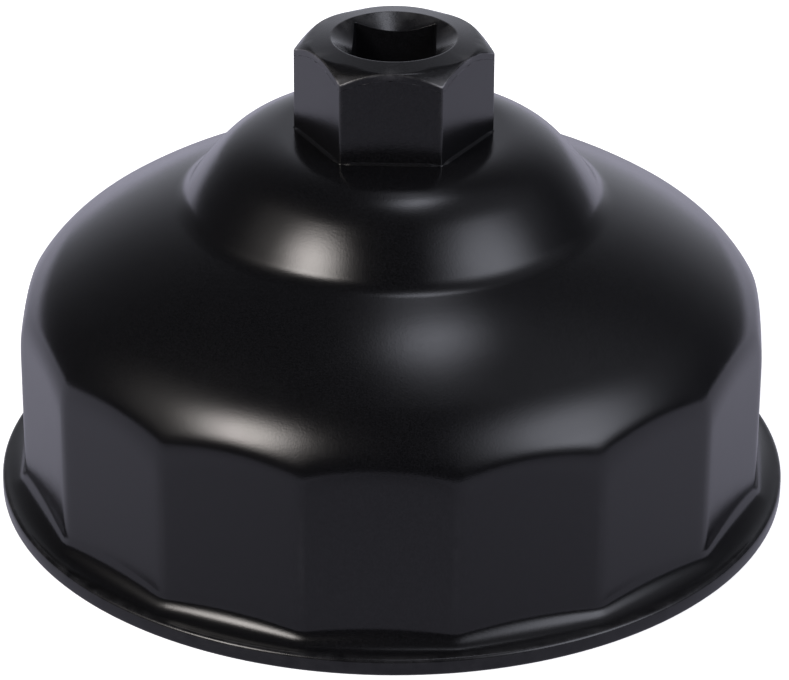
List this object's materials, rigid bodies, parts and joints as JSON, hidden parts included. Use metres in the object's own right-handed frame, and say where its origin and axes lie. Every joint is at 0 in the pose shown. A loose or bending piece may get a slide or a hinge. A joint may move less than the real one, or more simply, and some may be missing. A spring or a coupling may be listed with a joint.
{
  "type": "cap oil filter wrench",
  "caption": "Black cap-type oil filter wrench: a fluted pressed-steel cup with a domed shoulder and a hex nut with a square drive.",
  "frame": {"origin": "on the axis, in the plane of the rim that the tool stands on", "axes": "+Z along the axis from the open mouth to the drive nut, -Y square to one flat of the cup and one face of the hexagon, +X completes a right-handed frame"},
  "size_m": [0.0978, 0.0978, 0.0596],
  "materials": {
    "coated_steel_cup": "black satin coating with a fine grain over pressed steel",
    "coated_steel_nut": "black satin coating over turned and broached steel",
    "coated_weld": "black satin coating over a rippled weld"
  },
  "bodies": {
    "root": {"filter_cup": "coated_steel_cup", "drive_nut": "coated_steel_nut", "weld_bead": "coated_weld"}
  },
  "joints": []
}
